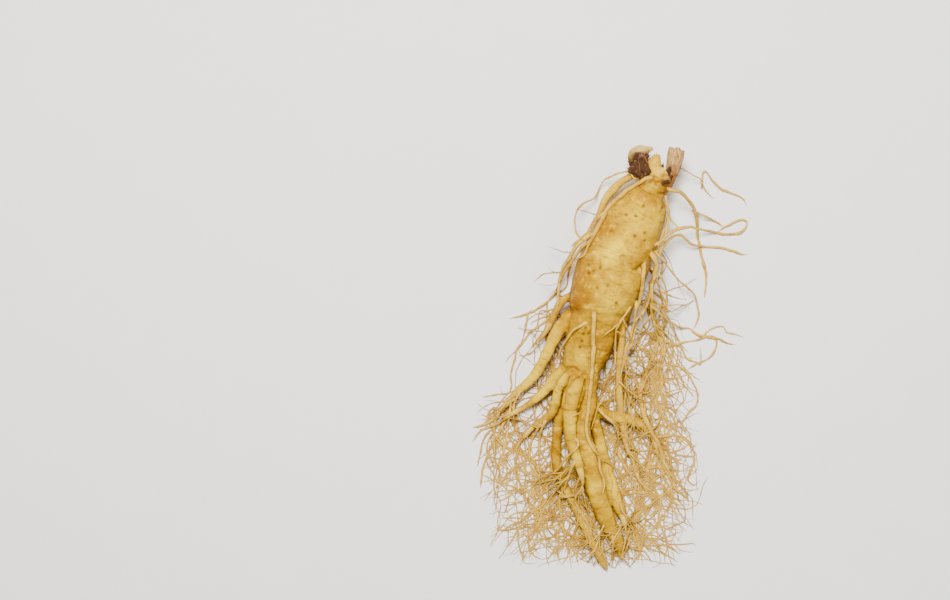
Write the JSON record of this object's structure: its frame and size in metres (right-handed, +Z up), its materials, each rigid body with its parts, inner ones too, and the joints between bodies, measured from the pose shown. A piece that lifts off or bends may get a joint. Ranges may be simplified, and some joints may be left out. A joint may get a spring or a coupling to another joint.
{
  "type": "ginseng root",
  "caption": "Fresh ginseng root lying on its side: a thick forked taproot with side roots, fine rootlets, and a short neck with buds, papery scales and a dry stem stub.",
  "frame": {"origin": "middle of the root's outline seen from above, on the surface that it lies on", "axes": "+Z up, +Y along the root towards the crown, +X to the right of someone who looks down with the crown away from them"},
  "size_m": [0.1398, 0.215, 0.0328],
  "materials": {
    "root_skin": "fresh golden skin with a soft waxy sheen, fine creases and pits",
    "dry_stem": "dry, fibrous and matt",
    "bud_skin": "smooth and pale, slightly glossy",
    "dry_scale": "brown, papery and matt"
  },
  "bodies": {
    "root": {"ginseng_root": "root_skin", "stem_base": "dry_stem", "winter_bud": "bud_skin", "side_bud": "bud_skin", "bud_scale_1": "dry_scale", "bud_scale_2": "dry_scale", "bud_scale_3": "dry_scale", "bud_scale_4": "dry_scale"}
  },
  "joints": []
}
